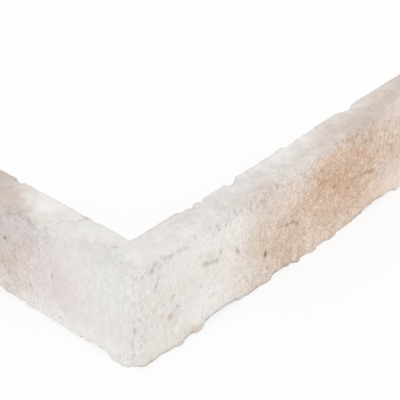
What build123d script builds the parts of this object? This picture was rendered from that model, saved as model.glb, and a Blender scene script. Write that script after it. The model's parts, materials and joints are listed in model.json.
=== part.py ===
from build123d import *
import os

# Cast stone veneer corner: one L-shaped piece that wraps the outside corner of a wall.
# Millimetres. X runs along the long return, Y along the short return, and Z is up.
# The origin is the middle of the base, so the piece stands on the plane Z = 0.

# Overall sizes: each return is measured along its outer face, from the outside corner
HEIGHT = 73.0
THICKNESS = 25.0
LONG_RETURN = 305.0
SHORT_RETURN = 152.0

# Roundings that the mould and wear leave on the edges
CORNER_RADIUS = 6.0
INNER_RADIUS = 3.0
END_RADIUS = 3.0
TOP_ARRIS_RADIUS = 3.0
FOOT_ARRIS_RADIUS = 2.0

# Broken places along an arris: distance from the outside corner, length, depth
LONG_FOOT_CHIPS = [(78.0, 38.0, 2.9), (139.0, 26.0, 2.0), (238.0, 54.0, 3.3)]
SHORT_FOOT_CHIPS = [(39.0, 36.0, 3.0), (78.0, 60.0, 2.5), (120.0, 58.0, 2.9)]
SHORT_TOP_CHIPS = [(42.0, 60.0, 2.8)]
LONG_BACK_NICKS = [(90.0, 56.0, 2.2), (166.0, 60.0, 1.5), (228.0, 18.0, 1.8)]
SHORT_BACK_NICKS = [(120.0, 12.0, 1.6)]

# Blunted foot of the outside corner
BLUNT_FOOT_LENGTH = 24.0
BLUNT_FOOT_DEPTH = 6.5

# The outside corner of the two faces, the inside corner of the two backs, and the two ends
OUTER_X = -LONG_RETURN / 2
OUTER_Y = -SHORT_RETURN / 2
INNER_X = OUTER_X + THICKNESS
INNER_Y = OUTER_Y + THICKNESS
END_X = OUTER_X + LONG_RETURN
END_Y = OUTER_Y + SHORT_RETURN

# A cut stays in a cube this many times its own length, so that it reaches nothing else
CUT_REACH = 1.25

# Two points nearer than this are the same point
SAME = 1e-4


def plan():
    """The L seen from above, with its upright edges rounded."""
    outer, inner = (OUTER_X, OUTER_Y), (INNER_X, INNER_Y)
    long_end, short_end = (END_X, OUTER_Y), (OUTER_X, END_Y)
    corners = [outer, long_end, (END_X, INNER_Y), inner, (INNER_X, END_Y), short_end]
    shape = make_face(Polyline(*corners, close=True))
    roundings = {
        outer: CORNER_RADIUS,
        inner: INNER_RADIUS,
        long_end: END_RADIUS,
        short_end: END_RADIUS,
    }
    for place, radius in roundings.items():
        corner = shape.vertices().sort_by_distance((*place, 0))[0]
        shape = fillet(corner, radius)
    return shape


def face_edges(block, level):
    """The edges at one level that run round the faces and the ends, and not along the backs."""

    def clear_of_backs(edge):
        middle = edge @ 0.5
        on_level = abs(middle.Z - level) < SAME
        return on_level and (middle.X < INNER_X - SAME or middle.Y < INNER_Y - SAME)

    return block.edges().filter_by(clear_of_backs)


def rounded_block():
    """The casting with its edges rounded, before anything breaks off."""
    block = extrude(plan(), HEIGHT)
    block = fillet(face_edges(block, HEIGHT), TOP_ARRIS_RADIUS)
    return fillet(face_edges(block, 0), FOOT_ARRIS_RADIUS)


def scallop(place, outward, length, depth):
    """The part of a ball that dips into an arris by the depth, over the length."""
    radius = ((length / 2) ** 2 + depth**2) / (2 * depth)
    centre = Vector(*place) + Vector(*outward).normalized() * (radius - depth)
    side = CUT_REACH * length
    return (Pos(centre) * Sphere(radius)) & (Pos(*place) * Box(side, side, side))


def broken_places():
    """Every chip and nick, each as the cut that takes it away."""
    cuts = []
    for along, length, depth in LONG_FOOT_CHIPS:
        place = (OUTER_X + along, OUTER_Y, 0)
        cuts.append(scallop(place, (0, -1, -1), length, depth))
    for along, length, depth in SHORT_FOOT_CHIPS:
        place = (OUTER_X, OUTER_Y + along, 0)
        cuts.append(scallop(place, (-1, 0, -1), length, depth))
    for along, length, depth in SHORT_TOP_CHIPS:
        place = (OUTER_X, OUTER_Y + along, HEIGHT)
        cuts.append(scallop(place, (-1, 0, 1), length, depth))
    for along, length, depth in LONG_BACK_NICKS:
        place = (OUTER_X + along, INNER_Y, HEIGHT)
        cuts.append(scallop(place, (0, 1, 1), length, depth))
    for along, length, depth in SHORT_BACK_NICKS:
        place = (INNER_X, OUTER_Y + along, HEIGHT)
        cuts.append(scallop(place, (1, 0, 1), length, depth))
    foot = (OUTER_X, OUTER_Y, 0)
    cuts.append(scallop(foot, (-1, -1, -1), BLUNT_FOOT_LENGTH, BLUNT_FOOT_DEPTH))
    return cuts


def veneer_corner():
    """The whole piece: the rounded casting with its broken places."""
    piece = rounded_block()
    for cut in broken_places():
        piece -= cut
    return piece


os.makedirs("parts", exist_ok=True)
corner_piece = veneer_corner()
export_step(corner_piece, "parts/veneer_corner.step")
print("volume mm3", round(corner_piece.volume), "box", corner_piece.bounding_box().size)
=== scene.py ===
"""A cast stone veneer corner: the worn surface and the stains of the stone, and a plain studio."""

import json
import math

import bpy
import numpy as np
from mathutils import Matrix, Vector, noise


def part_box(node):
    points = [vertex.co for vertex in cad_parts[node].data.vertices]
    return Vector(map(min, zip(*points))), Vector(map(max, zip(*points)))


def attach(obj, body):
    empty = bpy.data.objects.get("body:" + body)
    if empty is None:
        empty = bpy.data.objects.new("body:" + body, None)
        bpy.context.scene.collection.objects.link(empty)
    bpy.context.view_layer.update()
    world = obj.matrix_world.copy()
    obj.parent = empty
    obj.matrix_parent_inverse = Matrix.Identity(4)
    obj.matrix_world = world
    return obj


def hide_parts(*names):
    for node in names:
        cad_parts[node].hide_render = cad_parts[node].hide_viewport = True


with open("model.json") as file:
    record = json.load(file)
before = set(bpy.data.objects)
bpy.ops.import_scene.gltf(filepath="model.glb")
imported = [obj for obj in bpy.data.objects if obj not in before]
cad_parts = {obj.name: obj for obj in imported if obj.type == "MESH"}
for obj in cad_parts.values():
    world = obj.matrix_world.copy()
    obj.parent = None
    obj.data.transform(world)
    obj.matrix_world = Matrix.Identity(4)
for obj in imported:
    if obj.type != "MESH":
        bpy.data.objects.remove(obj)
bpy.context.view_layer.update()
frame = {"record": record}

# Where the stone is. Shapes below are in millimetres from the foot of the outside corner:
# x along the long return, y along the short return, z up.
MM = 0.001
NODE = "veneer_corner"
BOX_LOW, BOX_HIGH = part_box(NODE)
MOUNTS = {mount["name"]: mount for mount in frame["record"]["mounts"]}
LONG_RETURN, SHORT_RETURN, HEIGHT = (BOX_HIGH - BOX_LOW) / MM
THICKNESS = (MOUNTS["long_back"]["pos_m"][1] - BOX_LOW.y) / MM
# The surfaces that show in the wall, and where each lies across itself
SURFACES = {"long": 0.0, "short": 0.0, "top": HEIGHT}

# Roundings of the casting
CORNER_RADIUS = 6.0
INNER_RADIUS = 3.0
END_RADIUS = 3.0
TOP_ARRIS = 3.5
FOOT_ARRIS = 1.4
BACK_ARRIS = 0.8

# Spacing of the grid: on what shows in the wall, and on the backs and the bed
FACE_PITCH = 0.82
HIDDEN_PITCH = 3.0
ARC_STEPS = 6
CORNER_STEPS = 12
END_STEPS = 4
END_SHRINKS = (0.92, 0.75, 0.5, 0.25, 0.06)

# Broken places along an arris: distance from the outside corner, length, depth. They end nearly square.
BREAK_SQUARENESS = 4
LONG_FOOT_CHIPS = [
    (12.0, 10.0, 0.7),
    (22.0, 7.0, 0.9),
    (48.0, 5.0, 0.8),
    (64.5, 7.0, 2.6),
    (77.0, 32.0, 3.1),
    (88.5, 13.0, 2.5),
    (97.5, 9.0, 1.2),
    (110.0, 10.0, 0.6),
    (130.0, 8.0, 2.4),
    (138.0, 14.0, 2.0),
    (146.0, 10.0, 1.6),
    (219.0, 16.0, 1.5),
    (240.0, 40.0, 3.4),
    (239.0, 16.0, 4.0),
    (254.0, 20.0, 3.5),
    (280.0, 40.0, 1.4),
]
SHORT_FOOT_CHIPS = [
    (32.5, 26.0, 3.5),
    (45.5, 7.0, 3.4),
    (58.0, 34.0, 2.5),
    (69.0, 10.0, 2.9),
    (82.0, 32.0, 2.7),
    (98.5, 10.0, 3.4),
    (112.0, 36.0, 3.3),
    (120.0, 14.0, 4.2),
    (140.0, 30.0, 3.2),
]
LONG_TOP_CHIPS = [(282.0, 84.0, 3.0)]
SHORT_TOP_CHIPS = [(42.0, 60.0, 2.8)]
LONG_BACK_NICKS = [
    (68.0, 11.0, 1.7),
    (74.5, 8.0, 2.8),
    (78.0, 18.0, 1.6),
    (84.0, 7.5, 3.0),
    (92.0, 16.0, 1.8),
    (101.0, 10.0, 1.4),
    (111.0, 13.0, 4.0),
    (130.0, 44.0, 1.0),
    (151.0, 12.0, 1.7),
    (170.0, 16.0, 2.0),
    (187.0, 26.0, 1.0),
    (229.0, 18.0, 1.8),
    (230.5, 12.0, 2.6),
]
SHORT_BACK_NICKS = [(120.5, 8.0, 2.0), (68.0, 12.0, 0.8), (54.5, 6.0, 1.3), (28.0, 16.0, 0.9)]
# Lumps between the chips of the long foot: distance from the outside corner, length, how far they stand out.
# They fade upwards and into the stone.
LONG_FOOT_SWELLS = [
    (31.0, 7.0, 0.8),
    (38.0, 9.0, 2.1),
    (55.5, 8.0, 1.6),
    (122.0, 8.0, 0.9),
    (142.5, 4.0, 1.0),
    (151.0, 8.0, 1.8),
    (167.5, 9.0, 1.7),
    (188.0, 12.0, 1.5),
]
SWELL_HEIGHT = 12.0
SWELL_DEPTH = 12.0
# Wear of the outside corner: its depth, how much deeper it goes at the foot, and how high that reaches
CORNER_WEAR = 1.8
CORNER_FOOT_WEAR = 5.4
CORNER_FOOT_REACH = 8.0
# Wear of the top arrises
LONG_TOP_WEAR = 1.0
SHORT_TOP_WEAR = 0.9
# Small breaks: the depths of the two noises that they come from, and how strong they are on each arris
RAGGED_DEPTH = 0.45
NIBBLED_DEPTH = 0.25
LONG_TOP_NIBBLES = 0.6
SHORT_TOP_NIBBLES = 0.5
BACK_NIBBLES = 1.3
CORNER_NIBBLES = 0.6
# Cutting an arris: its softness, how far outside the stone it takes hold, and a depth that cuts nothing
CUT_SOFTNESS = 0.35
CUT_MARGIN = 1.0
UNCUT = -9.0
# Darkening beside a cut, which along the foot is painted shade: where it starts to fade, and how fast
RIM_INSET = 0.65
RIM_REACH = 0.4
# Painted shade along the long foot's very edge, where it turns under: how high it reaches, and its darkness
# at distances from the corner
FOOT_SHADE_HEIGHT = 1.6
FOOT_SHADE = [
    (3.0, 0.0),
    (7.0, 1.5),
    (18.0, 1.5),
    (22.0, 0.6),
    (27.0, 1.5),
    (32.0, 1.5),
    (34.5, 0.8),
    (37.0, 2.0),
    (46.0, 2.0),
    (50.0, 1.0),
    (55.0, 1.1),
    (58.0, 1.6),
    (65.0, 1.1),
    (67.0, 0.7),
    (70.0, 0.9),
    (84.0, 0.8),
    (91.0, 0.9),
    (97.0, 0.5),
    (106.0, 1.1),
    (127.0, 1.5),
    (131.0, 0.4),
    (139.0, 0.6),
    (145.0, 0.3),
    (151.0, 0.7),
    (155.0, 0.7),
    (160.0, 0.4),
    (166.0, 0.9),
    (178.0, 0.6),
    (188.0, 0.8),
    (196.0, 0.4),
    (206.0, 0.7),
    (214.0, 0.9),
    (222.0, 0.6),
    (240.0, 0.5),
    (249.0, 0.35),
    (262.0, 0.1),
]
# Darker places of the back edges: distance from the outside corner, length, how much darker
LONG_BACK_DARKER = [
    (26.0, 5.0, 1.6),
    (31.0, 4.0, 1.0),
    (38.5, 7.0, 1.9),
    (49.0, 10.0, 1.2),
    (57.0, 10.0, 1.4),
    (62.5, 6.0, 2.2),
    (78.5, 4.0, 2.0),
    (90.0, 8.0, 0.8),
    (258.0, 40.0, 0.8),
    (282.0, 30.0, 1.0),
]
SHORT_BACK_DARKER = [(124.0, 9.0, 2.4), (134.0, 16.0, 1.6)]
# How dark the short back edge is beside the long one
SHORT_BACK_SHARE = 0.5
# The depth of nick in the long back edge at which it is no longer darker
UNDARKENED_NICK = 2.0

# Noises in the shape of the stone: size of the widest features, octaves, a shift that sets each apart.
# First, how they fall off and how much finer each octave is.
NOISE_FALLOFF = 1.0
NOISE_RATIO = 2.0
RAGGED = (7.0, 3, 0.0)
NIBBLED = (2.5, 2, 31.7)
WAVES = (38.0, 2, 3.1)
SAND_STREAKS = ((2.2, 2.2, 6.5), 3, 5.3)
SAND = (1.5, 1, 11.9)
BACK_WAVES = (5.0, 3, 23.0)
PIT_DRIFT = (1.6, 2, 71.0)
SPECKS = ((2.6, 2.6, 4.0), 2, 67.0)
LINE_DRIFT = (3.0, 2, 41.0)
CRACK_GAPS = (4.0, 2, 59.0)
STREAK_GAPS = (2.5, 2, 53.0)
# Relief: how high the noises stand on the faces, the top and the hidden sides
FACE_WAVES = 0.45
FACE_STREAKS = 0.22
FACE_SAND = 0.12
TOP_WAVES = 0.25
TOP_SAND = 0.04
HIDDEN_WAVES = 0.2

# Air pits of each surface: place, half sizes, and the darkness of the painted shade in each.
# A place is along and up on a face, and in plan on the top.
PITS = {
    "long": [
        ((119.3, 23.4), (1.25, 2.4), 1.2),
        ((90.7, 42.2), (1.3, 1.5), 0.7),
        ((92.4, 39.9), (1.2, 1.4), 0.65),
        ((76.0, 49.2), (1.3, 1.2), 0.54),
        ((30.7, 25.5), (1.7, 1.5), 0.55),
        ((36.6, 30.0), (1.5, 1.2), 0.45),
        ((26.0, 37.0), (1.2, 1.0), 0.3),
        ((34.0, 39.0), (2.4, 1.2), 0.32),
        ((58.0, 32.5), (1.0, 1.0), 0.35),
        ((18.8, 51.5), (0.8, 1.6), 0.25),
        ((69.0, 20.5), (1.2, 1.4), 0.3),
        ((121.0, 12.0), (1.0, 1.2), 0.5),
        ((190.0, 40.0), (1.8, 1.2), 0.62),
        ((205.0, 32.2), (1.3, 1.1), 0.55),
        ((222.0, 60.0), (1.3, 1.2), 0.54),
        ((229.0, 58.0), (1.1, 1.0), 0.54),
        ((220.5, 55.5), (1.2, 1.0), 0.45),
        ((237.5, 45.5), (1.3, 1.0), 0.35),
        ((261.5, 30.5), (1.5, 1.1), 0.4),
        ((209.0, 65.0), (1.3, 1.1), 0.42),
        ((174.0, 60.5), (1.4, 1.1), 0.36),
        ((8.0, 67.5), (1.6, 1.2), 0.3),
        ((12.0, 69.5), (1.8, 1.0), 0.25),
        ((16.5, 67.5), (1.6, 1.6), 0.42),
        ((19.0, 70.3), (2.4, 1.3), 0.42),
        ((23.5, 66.8), (1.4, 1.5), 0.15),
        ((27.0, 71.0), (1.6, 1.0), 0.3),
        ((32.0, 68.5), (1.5, 1.4), 0.42),
        ((41.0, 69.0), (1.8, 1.0), 0.3),
        ((45.0, 67.8), (2.2, 0.8), 0.35),
        ((53.5, 71.0), (1.2, 1.2), 0.3),
        ((72.6, 69.3), (1.1, 1.5), 0.5),
        ((74.5, 66.3), (1.1, 1.5), 0.5),
        ((82.0, 69.5), (1.4, 1.5), 0.48),
        ((80.8, 66.0), (1.2, 1.6), 0.52),
        ((89.0, 71.0), (1.3, 1.2), 0.42),
        ((91.0, 68.5), (1.2, 1.2), 0.42),
        ((98.0, 73.5), (1.4, 1.3), 0.4),
        ((99.6, 71.0), (1.2, 1.2), 0.35),
        ((104.5, 69.8), (1.5, 1.2), 0.38),
    ],
    "short": [
        ((110.8, 46.6), (1.15, 1.05), 1.25),
        ((89.5, 21.2), (1.5, 1.1), 0.36),
        ((69.0, 38.5), (1.0, 1.5), 0.44),
        ((13.0, 8.0), (0.9, 1.2), 0.4),
        ((64.0, 9.0), (1.2, 1.0), 0.35),
    ],
    "top": [
        ((23.2, 60.6), (1.2, 2.0), 0.36),
        ((13.2, 26.8), (1.1, 1.2), 0.48),
        ((9.5, 38.0), (0.9, 1.4), 0.18),
    ],
}
# How far a pit reaches across its surface, how deep it goes, and how far noise pulls its outline about
PIT_REACH = 1.5
PIT_DEPTH = 0.9
PIT_UNEVENNESS = 0.7
# Clusters of small pits: the ends of the line that they lie along, how far they spread from it, and the
# darkness of the painted shade in them
SPECKLED = [
    ((4, 0, 69), (30, 0, 71), 4.5, 0.26),
    ((30, 0, 70), (48, 0, 68), 3.0, 0.24),
    ((66, 0, 69), (112, 0, 67), 5.5, 0.3),
    ((112, 0, 70), (160, 0, 71), 4.0, 0.2),
    ((195, 0, 71), (232, 0, 71), 4.5, 0.3),
    ((2, 1, 8), (4, 0, 52), 6.0, 0.24),
    ((14, 0, 46), (38, 0, 24), 10.0, 0.17),
    ((2, 8, 73), (12, 30, 73), 6.0, 0.15),
    ((0, 60, 71), (0, 104, 70), 6.0, 0.2),
]
# The noise at which a speck begins, and at which it is full
SPECK_LEVELS = (-0.05, 0.6)

# Lines on the stone: hairline cracks and scrapes, a line of painted shade down the rounded outside corner,
# and brown streaks on the long face.
# Each line: its points, in plan on the top or along and up the faces, and its width and strength
TOP_CRACK = [
    (2.5, 68.5),
    (8.0, 69.5),
    (12.5, 68.8),
    (13.5, 66.0),
    (16.0, 63.0),
    (20.0, 61.0),
    (23.6, 60.6),
]
TOP_CRACKS = [(TOP_CRACK, 0.7, 0.9)]
FACE_CRACKS = [
    ([(22.0, 60.0), (20.5, 56.5), (19.6, 53.5), (18.6, 50.0)], 0.9, 1.3),
    ([(61.5, 47.5), (66.0, 45.8), (72.5, 43.8)], 1.3, 2.0),
    ([(72.5, 43.8), (76.5, 47.0)], 0.9, 0.8),
    # Painted shade of the rounded outside corner, drawn as a line down it
    ([(0.5, 66.0), (1.5, 44.0), (0.5, 33.0), (-2.0, 23.5), (-0.8, 13.0), (0.5, 8.0)], 1.1, 0.6),
]
STREAKS = [
    ([(131.0, 38.5), (136.0, 36.2), (140.0, 35.2)], 1.1, 0.25),
    ([(140.0, 35.2), (144.5, 35.0), (148.5, 33.3), (151.5, 30.6)], 1.1, 0.9),
    ([(210.0, 37.2), (215.0, 35.8)], 1.2, 0.45),
    ([(216.0, 36.2), (226.0, 34.5), (230.0, 32.8), (231.5, 31.8)], 1.1, 0.85),
    ([(231.5, 31.8), (238.0, 28.2)], 1.2, 0.3),
    ([(250.0, 45.5), (254.0, 39.5), (257.5, 31.0)], 1.6, 0.3),
    ([(216.0, 30.5), (223.5, 26.0)], 2.2, 0.15),
    ([(172.0, 50.3), (183.0, 50.1)], 1.2, 0.5),
]
CRACK_DEPTH = 0.35
# How far the lines stray, how much of them is unbroken, and how strong the breaks in the streaks are
LINE_SHAKE = 0.5
CRACK_COVER = 0.75
STREAK_COVER = 0.8
STREAK_BREAKS = 0.7


def srgb(red, green, blue):
    """A colour given as 0 to 255 on screen, as the shaders take it."""
    shares = [channel / 255 for channel in (red, green, blue)]
    linear = [c / 12.92 if c <= 0.04045 else ((c + 0.055) / 1.055) ** 2.4 for c in shares]
    return (*linear, 1.0)


# Colours of the stone
PALE = srgb(229, 225, 220)
# Stains of each surface, the later over the earlier: centre, half sizes, softness, colour, strength
STAINS = {
    "long": [
        ((200, 34), (98, 60), 0.38, srgb(219, 201, 186), 1.0),
        ((197, 44), (42, 30), 0.7, srgb(209, 180, 158), 1.0),
        ((144, 22), (17.5, 19), 0.6, srgb(211, 190, 173), 0.9),
        ((124, 61), (21, 9), 0.6, srgb(216, 200, 190), 0.85),
        ((114, 34), (8, 12), 0.7, srgb(212, 198, 178), 0.7),
        ((144, 58), (18, 12), 0.6, srgb(225, 210, 198), 0.6),
        ((222, 35), (4.5, 4), 0.7, srgb(223, 202, 186), 0.7),
        ((159, 29), (8, 6), 0.7, srgb(224, 206, 190), 0.75),
        ((177, 36), (7, 7), 0.7, srgb(221, 197, 180), 0.7),
        ((153, 45), (8, 6), 0.6, srgb(210, 184, 165), 0.6),
        ((143, 35), (7, 5), 0.7, srgb(220, 200, 186), 0.6),
        ((194, 62), (7, 5), 0.5, srgb(223, 207, 193), 0.7),
        ((188, 71), (12, 5), 0.5, srgb(226, 213, 205), 0.7),
        ((233, 56), (7, 6), 0.6, srgb(221, 203, 188), 0.6),
        ((254, 43), (10, 9), 0.6, srgb(211, 189, 171), 0.8),
        ((239, 37), (7, 6), 0.7, srgb(224, 204, 190), 0.7),
        ((233, 19), (11, 7), 0.7, srgb(226, 207, 193), 0.8),
        ((104, 38), (6, 7), 0.7, srgb(214, 199, 186), 0.6),
        ((101, 71), (9, 5), 0.7, srgb(216, 207, 198), 0.6),
        ((107, 9), (8, 9), 0.7, srgb(216, 202, 190), 0.6),
        ((154, 74), (20, 9), 0.7, srgb(226, 214, 206), 0.8),
        ((216, 68), (24, 7), 0.6, srgb(208, 190, 177), 0.75),
        ((264, 8), (22, 16), 0.5, srgb(232, 217, 205), 1.0),
        ((248, 75), (22, 8), 0.6, srgb(226, 214, 205), 0.6),
        ((168, 9), (14, 9), 0.7, srgb(227, 210, 196), 0.9),
        ((144, 7), (9, 6), 0.6, srgb(206, 183, 166), 0.8),
        ((202, 6), (16, 6), 0.7, srgb(226, 207, 193), 0.7),
        ((205, 28), (6, 5), 0.7, srgb(217, 190, 170), 0.7),
        ((86, 50), (10, 14), 0.7, srgb(236, 231, 226), 0.6),
        ((64, 20), (26, 13), 0.7, srgb(237, 233, 229), 0.8),
        ((62, 62), (36, 12), 0.7, srgb(235, 231, 227), 0.8),
        ((16, 66), (14, 6), 0.7, srgb(223, 220, 216), 0.6),
        ((12, 28), (16, 12), 0.7, srgb(223, 218, 214), 0.35),
        ((32, 24), (6, 5), 0.7, srgb(219, 210, 200), 0.6),
        ((27, 9), (9, 6), 0.7, srgb(226, 222, 210), 0.5),
        ((10, 5), (5, 3), 0.7, srgb(223, 210, 192), 0.5),
        ((54, 5), (5, 4.5), 0.7, srgb(212, 192, 175), 0.75),
        ((92, 8), (5, 5), 0.7, srgb(220, 206, 194), 0.4),
        ((41, 8), (7, 5), 0.7, srgb(223, 214, 203), 0.6),
        ((64, 47), (7, 4), 0.7, srgb(222, 211, 202), 0.6),
    ],
    "short": [
        ((30, 24), (52, 34), 0.7, srgb(229, 224, 221), 0.8),
        ((118, 56), (36, 36), 0.4, srgb(209, 199, 195), 1.0),
        ((76, 38), (24, 22), 0.6, srgb(224, 212, 210), 0.9),
        ((104, 17), (14, 9), 0.6, srgb(216, 203, 199), 0.8),
        ((84, 66), (20, 10), 0.6, srgb(214, 210, 208), 0.85),
        ((98, 72), (14, 6), 0.6, srgb(199, 184, 179), 0.95),
        ((87, 52), (9, 7), 0.6, srgb(210, 199, 196), 0.85),
        ((99, 41), (7, 5), 0.7, srgb(214, 198, 190), 0.75),
        ((104, 35), (8, 4), 0.7, srgb(212, 196, 188), 0.65),
        ((115, 30), (9, 5), 0.7, srgb(208, 191, 183), 0.8),
        ((16, 58), (22, 20), 0.6, srgb(226, 227, 224), 0.9),
        ((36, 70), (16, 6), 0.6, srgb(218, 216, 214), 0.7),
        ((111, 57), (8, 6), 0.6, srgb(203, 193, 191), 0.6),
        ((114, 8), (8, 6), 0.6, srgb(208, 201, 194), 0.6),
        ((50, 8), (40, 8), 0.6, srgb(235, 233, 230), 0.85),
    ],
    "top": [
        ((14, 40), (60, 66), 0.3, srgb(234, 231, 226), 0.9),
        ((110, 12), (56, 60), 0.6, srgb(225, 220, 216), 0.9),
        ((255, 10), (82, 60), 0.5, srgb(212, 198, 189), 1.0),
        ((117, 1), (25, 7), 0.7, srgb(215, 204, 196), 0.85),
        ((66, 0), (30, 6), 0.7, srgb(236, 233, 229), 0.35),
        ((188, 26), (92, 9), 0.8, srgb(235, 230, 226), 0.75),
        ((146, 24), (60, 8), 0.7, srgb(236, 232, 229), 0.8),
        ((168, 21), (14, 6), 0.7, srgb(238, 233, 229), 0.6),
        ((20, 92), (8, 13), 0.7, srgb(241, 238, 234), 0.7),
        ((23, 109), (8, 7), 0.7, srgb(222, 212, 205), 0.5),
        ((42, 20), (16, 7), 0.6, srgb(226, 222, 216), 0.6),
        ((272, 0), (24, 6), 0.6, srgb(226, 216, 208), 0.75),
        ((151, 4), (14, 6), 0.6, srgb(234, 226, 219), 0.5),
        ((202, 3), (18, 5), 0.6, srgb(220, 208, 199), 0.6),
        ((206, 20), (14, 7), 0.7, srgb(226, 217, 210), 0.7),
        ((0, 32), (7, 46), 0.7, srgb(224, 221, 216), 0.8),
        ((0, 118), (15, 30), 0.5, srgb(210, 196, 188), 1.0),
        ((22, 140), (12, 18), 0.5, srgb(203, 191, 180), 0.9),
    ],
}
# How far a stain reaches across its surface
STAIN_REACH = 60
# Drift of the stains' borders: the size of each noise, and how far it carries them
DRIFTS = [(40.0, 24.0), (9.0, 16.0), (2.5, 4.0)]
# How much painted shade darkens the top arrises, where the faces roll into the top
ARRIS_SHADE = 0.11
# The middle of a noise, and the smallest share of the faces that is divided by
NOISE_MIDDLE = 0.5
SMALLEST_SHARE = 0.01
# Grain: the size of its widest features, octaves, roughness, strength
COARSE_GRAIN = (5.0, 2.0, 0.9, 0.27)
FINE_GRAIN = (1.3, 1.0, 0.7, 0.26)
TOP_GRAIN = (10.0, 4.0, 0.95, 0.48)
# Soft lighter and darker places of the stains, and how much of them the top has
MOTTLE = (14.0, 3.0, 0.8, 1.0)
TOP_MOTTLE = 0.5
# Slow drift of the hue: its size, the levels of noise that it lies between, and its two tints
HUE_SIZE = 16.0
HUE_LEVELS = (0.3, 0.7)
ROSY = (1.012, 0.996, 1.004, 1.0)
OLIVE = (0.99, 1.005, 0.993, 1.0)
# Where the grain of each surface rises: two distances from the outside corner, and its strength at them
LONG_GRIT = (70.0, 150.0, 1.85, 3.8)
SHORT_GRIT = (40.0, 110.0, 1.35, 2.7)
TOP_GRIT = (25.0, 60.0, 1.0, 1.5)
# A smoother place near the end of the long face: centre, half sizes, softness, how much grain it loses
CALM_CENTRE = (257, 12)
CALM_HALVES = (24, 20)
CALM_SOFTNESS = 0.5
CALM_STRENGTH = 0.5
# How much of the grain deepens the colour, and how much of it shades the surface
GRAIN_DEPTH = 0.6
GRAIN_SHADE = 0.6
# The grain of the faces is a little longer upwards than along
UPRIGHT = (1, 1, 0.8)
# Surface of the stone: its bumps, its roughness between two levels of the fine grain, and its shine
BUMP_HEIGHT = 1.2
BUMP_STRENGTH = 0.5
ROUGH_LEVELS = (-0.05, 0.05)
ROUGHNESS = (0.95, 0.8)
SHINE = 0.25
# Dark marks that the mesh places: the mask, and how much of the stone's tone it takes. The pit and rim marks
# are painted shade, in the pits and along the long foot
MARKS = {"pit": 1.0, "crack": 0.25, "streak": 0.38, "rim": 0.4, "edge": 0.12}
DARKEST = 0.05
# Rust in the streaks
RUST = srgb(190, 140, 114)
RUST_STRENGTH = 0.6


def fractal(points, size, octaves, shift):
    """Noise of about -1 to 1 at each point. Its widest features are of the given size."""
    shifted = points / np.asarray(size, float) + shift
    kind = (NOISE_FALLOFF, NOISE_RATIO, octaves)
    return np.array([noise.fractal(place, *kind) for place in shifted.tolist()])


def on_surface(surface, pair, across):
    """A vector from two measures on a surface, which are along and up or in plan, and one across it."""
    first, second = pair
    if surface == "long":
        return first, across, second
    if surface == "short":
        return across, first, second
    return first, second, across


def section():
    """The stone's section as a ring of points (depth from the face, height), round from its foot."""
    corners = [
        (0, 0, FOOT_ARRIS, 270),
        (0, HEIGHT, TOP_ARRIS, 180),
        (THICKNESS, HEIGHT, BACK_ARRIS, 90),
        (THICKNESS, 0, BACK_ARRIS, 0),
    ]
    pitches = [FACE_PITCH, FACE_PITCH, HIDDEN_PITCH, HIDDEN_PITCH]
    arcs = []
    for depth, height, radius, start in corners:
        centre = (
            min(max(depth, radius), THICKNESS - radius),
            min(max(height, radius), HEIGHT - radius),
        )
        angles = np.radians(np.linspace(start, start - 90, ARC_STEPS + 1))
        arcs.append(centre + radius * np.column_stack([np.cos(angles), np.sin(angles)]))
    ring = []
    for arc, following, pitch in zip(arcs, arcs[1:] + arcs[:1], pitches):
        steps = round(np.linalg.norm(following[0] - arc[-1]) / pitch)
        run = np.linspace(arc[-1], following[0], steps + 1)[1:-1]
        ring += [arc, run]
    return np.concatenate(ring)


def leg(length):
    """Distances from the outside corner of the columns on one return: on its face, and on its back."""
    face_start, face_end = CORNER_RADIUS, length - END_RADIUS
    back_start = THICKNESS + INNER_RADIUS
    steps = round((face_end - face_start) / FACE_PITCH)
    shares = np.linspace(0, 1, steps + 1)
    on_face = face_start + shares * (face_end - face_start)
    on_back = back_start + shares * (face_end - back_start)
    return on_face, on_back


def columns():
    """The columns of the L in plan, from the short end to the long one: their face and back points."""
    short_face, short_back = leg(SHORT_RETURN)
    long_face, long_back = leg(LONG_RETURN)
    angles = np.radians(np.linspace(180, 270, CORNER_STEPS + 1)[1:-1])
    turn = np.column_stack([np.cos(angles), np.sin(angles)])
    faces = [
        np.column_stack([np.zeros_like(short_face), short_face])[::-1],
        CORNER_RADIUS * (1 + turn),
        np.column_stack([long_face, np.zeros_like(long_face)]),
    ]
    backs = [
        np.column_stack([np.full_like(short_back, THICKNESS), short_back])[::-1],
        THICKNESS + INNER_RADIUS * (1 + turn),
        np.column_stack([long_back, np.full_like(long_back, THICKNESS)]),
    ]
    return np.concatenate(faces), np.concatenate(backs)


def end_rings(ring, length):
    """The rings that round an end off and close it: each ring's depth and height, and its distance out."""
    rings = []
    for angle in np.linspace(0, math.pi / 2, END_STEPS + 1)[1:]:
        inset = END_RADIUS * (1 - math.cos(angle))
        scale = ((THICKNESS - inset) / THICKNESS, (HEIGHT - 2 * inset) / HEIGHT)
        out = length - END_RADIUS * (1 - math.sin(angle))
        rings.append((inset + ring * scale, out))
    rim = rings[-1][0]
    middle = (rim.min(axis=0) + rim.max(axis=0)) / 2
    for shrink in END_SHRINKS:
        rings.append((middle + (rim - middle) * shrink, length))
    return rings


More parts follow.
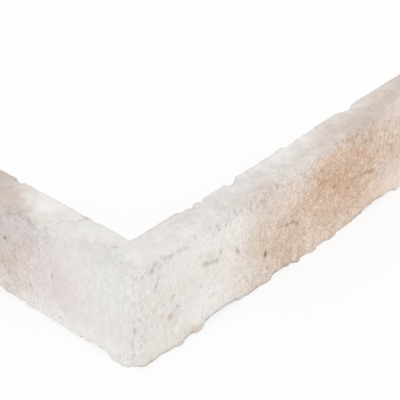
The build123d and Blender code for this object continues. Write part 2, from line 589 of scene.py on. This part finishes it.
def stone_grid():
    """The casting before wear: its vertices in millimetres, and its faces."""
    ring = section()
    shares = (ring[:, 0] / THICKNESS)[:, None]
    rings = []
    for depths, out in reversed(end_rings(ring, SHORT_RETURN)):
        rings.append(np.column_stack([depths[:, 0], np.full(len(ring), out), depths[:, 1]]))
    for face, back in zip(*columns()):
        plan = face + (back - face) * shares
        rings.append(np.column_stack([plan, ring[:, 1]]))
    for depths, out in end_rings(ring, LONG_RETURN):
        rings.append(np.column_stack([np.full(len(ring), out), depths[:, 0], depths[:, 1]]))
    width, count = len(ring), len(rings)
    first = np.arange(count * width).reshape(count, width)
    following = np.roll(first, -1, axis=1)
    quads = np.stack([first[:-1], first[1:], following[1:], following[:-1]], axis=-1)
    short_middle, long_middle = count * width, count * width + 1
    fans = [(short_middle, a, b) for a, b in zip(first[0], following[0])]
    fans += [(long_middle, b, a) for a, b in zip(first[-1], following[-1])]
    middles = [rings[0].mean(axis=0), rings[-1].mean(axis=0)]
    points = np.concatenate([*rings, middles])
    return points, [*quads.reshape(-1, 4).tolist(), *fans]


def broken(along, places):
    """How deep an arris is broken at each distance along it."""
    depth = np.zeros_like(along)
    for centre, length, deep in places:
        dip = deep * np.clip(1 - (2 * (along - centre) / length) ** BREAK_SQUARENESS, 0, 1)
        depth = np.maximum(depth, dip)
    return depth


def cut_arris(points, planes, depth):
    """Cuts an arris back by the depth, and returns how close each point lies to the cut, from 0 to 1.

    Each plane is an axis, its place and the way into the stone.
    """
    inward = [way * (points[:, axis] - place) for axis, place, way in planes]
    reach = sum(inward) / math.sqrt(len(planes))
    close = np.all([distance > -CUT_MARGIN for distance in inward], axis=0)
    push = CUT_SOFTNESS * np.logaddexp(0, (depth - reach) / CUT_SOFTNESS) * close
    for axis, _, way in planes:
        points[:, axis] += way * push / math.sqrt(len(planes))
    return np.exp(-np.maximum(reach - depth - RIM_INSET, 0) / RIM_REACH) * close


def wear(points):
    """Breaks and wears every arris, and returns the painted shade along the long foot and how much darker
    the back edges are.
    """
    x, y, z = points.T.copy()
    nibble = RAGGED_DEPTH * fractal(points, *RAGGED) + NIBBLED_DEPTH * fractal(points, *NIBBLED)
    long_face, short_face = (1, 0, 1), (0, 0, 1)
    long_back, short_back = (1, THICKNESS, -1), (0, THICKNESS, -1)
    bed, top = (2, 0, 1), (2, HEIGHT, -1)
    foot_shade = cut_arris(points, [long_face, bed], broken(x, LONG_FOOT_CHIPS) + nibble)
    cut_arris(points, [short_face, bed], broken(y, SHORT_FOOT_CHIPS) + nibble)
    short_top = broken(y, SHORT_TOP_CHIPS) + SHORT_TOP_WEAR + SHORT_TOP_NIBBLES * nibble
    cut_arris(points, [short_face, top], short_top)
    long_top = broken(x, LONG_TOP_CHIPS) + LONG_TOP_WEAR + LONG_TOP_NIBBLES * nibble
    cut_arris(points, [long_face, top], long_top)

    long_nicks = np.where(x > THICKNESS, broken(x, LONG_BACK_NICKS) + BACK_NIBBLES * nibble, UNCUT)
    short_nicks = np.where(y > THICKNESS, broken(y, SHORT_BACK_NICKS) + BACK_NIBBLES * nibble, UNCUT)
    long_rim = cut_arris(points, [long_back, top], long_nicks)
    long_rim *= np.clip(1 - long_nicks / UNDARKENED_NICK, 0, 1) * (1 + broken(x, LONG_BACK_DARKER))
    short_rim = cut_arris(points, [short_back, top], short_nicks)
    short_rim *= 1 + broken(y, SHORT_BACK_DARKER)

    foot_wear = CORNER_FOOT_WEAR * np.exp(-z / CORNER_FOOT_REACH)
    cut_arris(points, [long_face, short_face], CORNER_WEAR + foot_wear + CORNER_NIBBLES * nibble)
    # Painted shade at the very foot of the long face, darker towards the floor
    foot_shade = np.maximum(foot_shade, np.exp(-z / FOOT_SHADE_HEIGHT) * (y < FOOT_ARRIS))
    foot_shade *= np.interp(x, *zip(*FOOT_SHADE))
    swelling = np.clip(1 - y / SWELL_DEPTH, 0, 1) * bell(z, SWELL_HEIGHT)
    points[:, 1] -= broken(x, LONG_FOOT_SWELLS) * swelling
    return foot_shade, np.maximum(long_rim, SHORT_BACK_SHARE * short_rim)


def relief(points, front, upper):
    """How far each point stands out of the smooth casting: sandy on the faces, nearly smooth on the top."""
    hidden = 1 - front - upper
    waves, streaks, sand = (fractal(points, *kind) for kind in (WAVES, SAND_STREAKS, SAND))
    on_face = FACE_WAVES * waves + FACE_STREAKS * streaks + FACE_SAND * sand
    on_top = TOP_WAVES * waves + TOP_SAND * sand
    on_hidden = HIDDEN_WAVES * fractal(points, *BACK_WAVES)
    return front * on_face + upper * on_top + hidden * on_hidden


def from_line(place, line):
    """How far each place lies from a line of straight runs."""
    nearest = np.full(len(place), np.inf)
    corners = np.array(line, float)
    for start, end in zip(corners, corners[1:]):
        run = end - start
        share = np.clip((place - start) @ run / (run @ run), 0, 1)
        apart = np.linalg.norm(place - start - share[:, None] * run, axis=1)
        nearest = np.minimum(nearest, apart)
    return nearest


def bell(distance, width):
    """One at no distance, falling softly to nothing past the width."""
    return np.exp(-((distance / width) ** 2))


def pit_hollows_and_shade(points):
    """How much painted shade the air pits put at each point, which the mesh also sinks them by: the single
    pits, and the clusters of small ones.
    """
    single = np.zeros(len(points))
    uneven = points + PIT_UNEVENNESS * fractal(points, *PIT_DRIFT)[:, None]
    for surface, pits in PITS.items():
        for spot, halves, darkness in pits:
            centre = on_surface(surface, spot, SURFACES[surface])
            half_sizes = on_surface(surface, halves, PIT_REACH)
            apart = np.linalg.norm((uneven - centre) / half_sizes, axis=1)
            single = np.maximum(single, darkness * bell(apart, 1.0))
    clusters = np.zeros(len(points))
    for start, end, spread, darkness in SPECKLED:
        apart = from_line(points, [start, end])
        clusters = np.maximum(clusters, darkness * bell(apart, spread))
    low, high = SPECK_LEVELS
    specks = np.clip((fractal(points, *SPECKS) - low) / (high - low), 0, 1)
    return np.maximum(single, clusters * specks)


def unrolled(points):
    """Each point's place on the two faces, unrolled flat about the outside corner: along and up."""
    along = points[:, 0] - points[:, 1]
    return np.column_stack([along, points[:, 2]])


def near_face(points):
    """Which points lie on one of the two faces."""
    return points[:, :2].min(axis=1) < TOP_ARRIS


def shaken(points):
    """A small drift that keeps a drawn line from being straight."""
    return LINE_SHAKE * fractal(points, *LINE_DRIFT)[:, None]


def marked(place, lines):
    """How strongly one of the lines marks each place."""
    marks = [strength * bell(from_line(place, line), width) for line, width, strength in lines]
    return np.max(marks, axis=0)


def crack_mask(points):
    """How strongly the cracks, the scrapes and the painted shade line down the outside corner mark each
    point.
    """
    drift = shaken(points)
    high = points[:, 2] > HEIGHT - TOP_ARRIS
    on_top = marked(points[:, :2] + drift, TOP_CRACKS) * high
    on_face = marked(unrolled(points) + drift, FACE_CRACKS) * ~high * near_face(points)
    patchy = np.clip(CRACK_COVER + fractal(points, *CRACK_GAPS), 0, 1)
    return np.maximum(on_top, on_face) * patchy


def streak_mask(points):
    """How strongly a brown streak of the long face marks each point."""
    lines = marked(unrolled(points) + shaken(points), STREAKS)
    patchy = np.clip(STREAK_COVER + STREAK_BREAKS * fractal(points, *STREAK_GAPS), 0, 1)
    return lines * patchy * near_face(points)


def read_vectors(items, name):
    """One vector for each item of a mesh's collection."""
    values = np.empty(len(items) * 3)
    items.foreach_get(name, values)
    return values.reshape(-1, 3)


def add_mask(mesh, name, values):
    """Stores one number for each vertex, for the material to read."""
    mesh.attributes.new(name, "FLOAT", "POINT").data.foreach_set("value", values.astype(np.float32))


def stone_mesh():
    """The worn stone, with masks that say where its faces, pits, cracks and streaks are, where painted shade
    lies along the foot, and how much darker the back edges are.
    """
    points, faces = stone_grid()
    mesh = bpy.data.meshes.new("veneer_stone")
    mesh.from_pydata(points, [], faces)
    # rim is painted shade along the long foot; edge is how much darker the back edges are
    rim, edge = wear(points)
    mesh.vertices.foreach_set("co", points.ravel())
    mesh.update()
    normals = read_vectors(mesh.vertex_normals, "vector")
    short, long = np.clip(-normals[:, :2].T, 0, 1) ** 2
    upper = np.clip(normals[:, 2], 0, 1) ** 2
    in_pit_and_shade, in_crack = pit_hollows_and_shade(points), crack_mask(points)
    height = relief(points, short + long, upper) - PIT_DEPTH * in_pit_and_shade - CRACK_DEPTH * in_crack
    points += normals * height[:, None]
    points[:, 2] = np.maximum(points[:, 2], 0)
    mesh.vertices.foreach_set("co", points.ravel())
    masks = {"long": long, "short": short, "pit": in_pit_and_shade, "crack": in_crack, "rim": rim, "edge": edge}
    masks["streak"] = streak_mask(points)
    for name, values in masks.items():
        add_mask(mesh, name, values)
    mesh.transform(Matrix.Translation(BOX_LOW) @ Matrix.Scale(MM, 4))
    mesh.shade_smooth()
    mesh.update()
    return mesh


class Tree:
    """A node tree, with a short way to add a node and join what feeds it."""

    def __init__(self, owner):
        owner.use_nodes = True
        self.tree = owner.node_tree
        self.tree.nodes.clear()

    def add(self, kind, inputs=None, **settings):
        """Adds a node and returns it. An input is a value or another node's output."""
        made = self.tree.nodes.new("ShaderNode" + kind)
        for name, value in settings.items():
            setattr(made, name, value)
        for name, value in (inputs or {}).items():
            if isinstance(value, bpy.types.NodeSocket):
                self.tree.links.new(value, made.inputs[name])
            else:
                made.inputs[name].default_value = value
        return made

    def math(self, operation, first, second=0.0):
        """Arithmetic on two numbers."""
        return self.add("Math", {0: first, 1: second}, operation=operation).outputs[0]

    def vector(self, operation, first, second):
        """Arithmetic on two vectors. The length is the only result that is a number."""
        made = self.add("VectorMath", {0: first, 1: second}, operation=operation)
        return made.outputs[1 if operation == "LENGTH" else 0]

    def ramp(self, value, low, high, to_low=0.0, to_high=1.0):
        """Eases a number from one range into another."""
        inputs = {0: value, 1: low, 2: high, 3: to_low, 4: to_high}
        return self.add("MapRange", inputs, interpolation_type="SMOOTHSTEP").outputs[0]

    def mix(self, share, first, second, blend="MIX"):
        """Mixes two colours."""
        settings = {"data_type": "RGBA", "blend_type": blend, "clamp_factor": False}
        return self.add("Mix", {0: share, 6: first, 7: second}, **settings).outputs[2]

    def noise(self, place, size, detail=2.0, roughness=0.5, colour=False):
        """Noise of 0 to 1 whose widest features are of the given size."""
        inputs = {"Vector": place, "Scale": 1 / size, "Detail": detail, "Roughness": roughness}
        return self.add("TexNoise", inputs).outputs[1 if colour else 0]

    def grain(self, place, size, octaves, roughness, strength):
        """Noise about zero."""
        speckle = self.noise(place, size, octaves, roughness)
        return self.math("MULTIPLY", self.math("SUBTRACT", speckle, NOISE_MIDDLE), strength)

    def patch(self, place, centre, half_sizes, softness, strength):
        """How far a place lies in a soft ellipsoid, from 0 to the strength."""
        offset = self.vector("SUBTRACT", place, centre)
        scaled = self.vector("DIVIDE", offset, half_sizes)
        apart = self.vector("LENGTH", scaled, (0, 0, 0))
        return self.ramp(apart, 1 + softness, 1 - softness, 0.0, strength)

    def mask(self, name):
        """A number that the mesh holds for each vertex."""
        return self.add("Attribute", attribute_name=name).outputs["Fac"]


def drifting(nodes, place):
    """The place, carried about by noise, so that what is drawn at it has ragged borders."""
    drifted = place
    for size, reach in DRIFTS:
        drift = nodes.vector("SUBTRACT", nodes.noise(place, size, colour=True), (NOISE_MIDDLE,) * 3)
        drifted = nodes.vector("ADD", drifted, nodes.vector("MULTIPLY", drift, (reach,) * 3))
    return drifted


def coat(nodes, drifted, surface):
    """The colour of one surface: pale, with its stains laid over one another."""
    colour = PALE
    for spot, halves, softness, stain, strength in STAINS[surface]:
        centre = on_surface(surface, spot, SURFACES[surface])
        half_sizes = on_surface(surface, halves, STAIN_REACH)
        share = nodes.patch(drifted, centre, half_sizes, softness, strength)
        colour = nodes.mix(share, colour, stain)
    return colour


def stained(nodes, place, upright, drifted, short, front):
    """The stone's colour before its grain: the three surfaces, a soft mottle, a drift of hue, and rust."""
    coats = {surface: coat(nodes, drifted, surface) for surface in SURFACES}
    turned = nodes.math("DIVIDE", short, nodes.math("MAXIMUM", front, SMALLEST_SHARE))
    faces = nodes.mix(turned, coats["long"], coats["short"])
    colour = nodes.mix(front, coats["top"], faces)
    mottled = nodes.ramp(front, 0.0, 1.0, TOP_MOTTLE, 1.0)
    mottle = nodes.math("MULTIPLY", nodes.grain(upright, *MOTTLE), mottled)
    colour = nodes.mix(nodes.math("ADD", 1.0, mottle), PALE, colour)
    hue = nodes.ramp(nodes.noise(place, HUE_SIZE), *HUE_LEVELS)
    colour = nodes.mix(1.0, colour, nodes.mix(hue, ROSY, OLIVE), "MULTIPLY")
    rusty = nodes.math("MULTIPLY", nodes.mask("streak"), RUST_STRENGTH)
    return nodes.mix(rusty, colour, RUST)


def grit(nodes, drifted, long, short, upper):
    """How strong the grain is on the faces, and how strong on the top."""
    along_long, along_short, _ = nodes.add("SeparateXYZ", {0: drifted}).outputs
    calm_centre = on_surface("long", CALM_CENTRE, SURFACES["long"])
    calm_halves = on_surface("long", CALM_HALVES, STAIN_REACH)
    calm = nodes.patch(drifted, calm_centre, calm_halves, CALM_SOFTNESS, CALM_STRENGTH)
    on_long = nodes.math("MULTIPLY", nodes.ramp(along_long, *LONG_GRIT), long)
    on_long = nodes.math("MULTIPLY", on_long, nodes.math("SUBTRACT", 1.0, calm))
    on_short = nodes.math("MULTIPLY", nodes.ramp(along_short, *SHORT_GRIT), short)
    on_top = nodes.math("MULTIPLY", upper, nodes.ramp(along_long, *TOP_GRIT))
    return nodes.math("ADD", on_long, on_short), on_top


def stone_material():
    """Pale cast stone: cream, with soft stains, sandy faces, a smoother top, darker back edges, and painted
    shade in the pits, along the foot, on the top arrises and down the outside corner.
    """
    material = bpy.data.materials.new("cast_stone")
    nodes = Tree(material)
    place = nodes.add("TexCoord").outputs["Object"]
    place = nodes.vector("SUBTRACT", place, tuple(BOX_LOW))
    place = nodes.vector("MULTIPLY", place, (1 / MM,) * 3)
    upright = nodes.vector("MULTIPLY", place, UPRIGHT)
    drifted = drifting(nodes, place)
    long, short = nodes.mask("long"), nodes.mask("short")
    front = nodes.math("ADD", long, short)
    upper = nodes.math("SUBTRACT", 1.0, front)
    colour = stained(nodes, place, upright, drifted, short, front)

    on_faces, on_top = grit(nodes, drifted, long, short, upper)
    fine = nodes.grain(upright, *FINE_GRAIN)
    face_grain = nodes.math("ADD", nodes.grain(upright, *COARSE_GRAIN), fine)
    face_tone = nodes.math("MULTIPLY", face_grain, on_faces)
    # The pit and rim marks, and the line down the corner among the cracks, are painted shade; the rest are
    # cracks, streaks and darker back edges
    for name, strength in MARKS.items():
        face_tone = nodes.math("SUBTRACT", face_tone, nodes.math("MULTIPLY", nodes.mask(name), strength))
    top_tone = nodes.math("MULTIPLY", nodes.grain(place, *TOP_GRAIN), on_top)
    # Painted shade where the faces roll into the top
    arris = nodes.math("MULTIPLY", nodes.math("MULTIPLY", front, upper), ARRIS_SHADE)
    deeper = nodes.math("SUBTRACT", 1.0, nodes.math("MULTIPLY", face_tone, GRAIN_DEPTH))
    colour = nodes.add("Gamma", {"Color": colour, "Gamma": deeper}).outputs[0]
    shade = nodes.math("ADD", nodes.math("MULTIPLY", face_tone, GRAIN_SHADE), top_tone)
    tone = nodes.math("SUBTRACT", nodes.math("ADD", 1.0, shade), arris)
    tone = nodes.math("MAXIMUM", tone, DARKEST)
    grey = nodes.add("CombineColor", {0: tone, 1: tone, 2: tone}).outputs[0]
    colour = nodes.mix(1.0, colour, grey, "MULTIPLY")

    bump = nodes.add("Bump", {"Height": tone, "Distance": BUMP_HEIGHT * MM, "Strength": BUMP_STRENGTH})
    inputs = {
        "Base Color": colour,
        "Roughness": nodes.ramp(fine, *ROUGH_LEVELS, *ROUGHNESS),
        "Specular IOR Level": SHINE,
        "Normal": bump.outputs[0],
    }
    shader = nodes.add("BsdfPrincipled", inputs)
    nodes.add("OutputMaterial", {"Surface": shader.outputs[0]})
    return material


def stone():
    """The stone as one piece that stands for the CAD node."""
    piece = bpy.data.objects.new("cast_stone_corner", stone_mesh())
    bpy.context.scene.collection.objects.link(piece)
    piece.data.materials.append(stone_material())
    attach(piece, "root")
    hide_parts(NODE)


# Studio
FLOOR_SIZE = 6.0
FLOOR_WHITE = (0.98, 0.98, 0.98, 1.0)
SHADE_DEPTH = 0.22
AMBIENT = 0.86
KEY_STRENGTH = 0.6
KEY_ANGLE = 60.0
KEY_DIRECTION = (0.62, 0.6, -0.75)


def seen_directly(nodes):
    """One for rays from the camera, and for mirror and glass rays, which show the same white."""
    path = nodes.add("LightPath").outputs
    share = nodes.math("MAXIMUM", path["Is Camera Ray"], path["Is Glossy Ray"])
    return nodes.math("MAXIMUM", share, path["Is Transmission Ray"])


def floor():
    """A white floor that keeps the stone's shadow."""
    half = FLOOR_SIZE / 2
    mesh = bpy.data.meshes.new("floor")
    corners = [(x, y, BOX_LOW.z) for x, y in ((-half, -half), (half, -half), (half, half), (-half, half))]
    mesh.from_pydata(corners, [], [(0, 1, 2, 3)])
    piece = bpy.data.objects.new("floor", mesh)
    bpy.context.scene.collection.objects.link(piece)
    material = bpy.data.materials.new("floor")
    nodes = Tree(material)
    diffuse = nodes.add("BsdfDiffuse", {"Color": FLOOR_WHITE})
    glow = nodes.add("Emission", {"Strength": 1.0})
    share = nodes.math("MULTIPLY", seen_directly(nodes), 1 - SHADE_DEPTH)
    both = nodes.add("MixShader", {0: share, 1: diffuse.outputs[0], 2: glow.outputs[0]})
    nodes.add("OutputMaterial", {"Surface": both.outputs[0]})
    mesh.materials.append(material)


def lights():
    """Even white light from all round, and a soft key from just above the camera."""
    world = bpy.data.worlds.new("studio")
    bpy.context.scene.world = world
    nodes = Tree(world)
    strength = nodes.ramp(seen_directly(nodes), 0.0, 1.0, AMBIENT, 1.0)
    background = nodes.add("Background", {"Strength": strength})
    background.inputs["Color"].default_value = (1, 1, 1, 1)
    nodes.add("OutputWorld", {"Surface": background.outputs[0]})
    key = bpy.data.lights.new("key", "SUN")
    key.energy = KEY_STRENGTH
    key.angle = math.radians(KEY_ANGLE)
    lamp = bpy.data.objects.new("key", key)
    lamp.rotation_mode = "QUATERNION"
    lamp.rotation_quaternion = Vector(KEY_DIRECTION).to_track_quat("-Z", "Y")
    bpy.context.scene.collection.objects.link(lamp)


# Camera: its bearing, and where it stands from the foot of the outside corner, in millimetres
CAMERA_AZIMUTH = -48.075
CAMERA_ELEVATION = 33.942
CAMERA_BACK = 846.6
CAMERA_RIGHT = 38.1
CAMERA_UP = 103.5
FOCAL_LENGTH = 128.84
SENSOR_WIDTH = 36.0


def camera():
    """The photograph's view: both returns run out of the picture."""
    azimuth, elevation = math.radians(CAMERA_AZIMUTH), math.radians(CAMERA_ELEVATION)
    back = Vector((
        math.sin(azimuth) * math.cos(elevation),
        -math.cos(azimuth) * math.cos(elevation),
        math.sin(elevation),
    ))
    right = Vector((math.cos(azimuth), math.sin(azimuth), 0))
    up = back.cross(right)
    data = bpy.data.cameras.new("camera")
    data.lens = FOCAL_LENGTH
    data.sensor_width = SENSOR_WIDTH
    eye = bpy.data.objects.new("camera", data)
    offset = CAMERA_BACK * back + CAMERA_RIGHT * right + CAMERA_UP * up
    eye.location = BOX_LOW + offset * MM
    eye.rotation_mode = "QUATERNION"
    eye.rotation_quaternion = Matrix((right, up, back)).transposed().to_quaternion()
    bpy.context.scene.collection.objects.link(eye)
    bpy.context.scene.camera = eye


bpy.context.scene.view_settings.view_transform = "Standard"
stone()
floor()
lights()
camera()
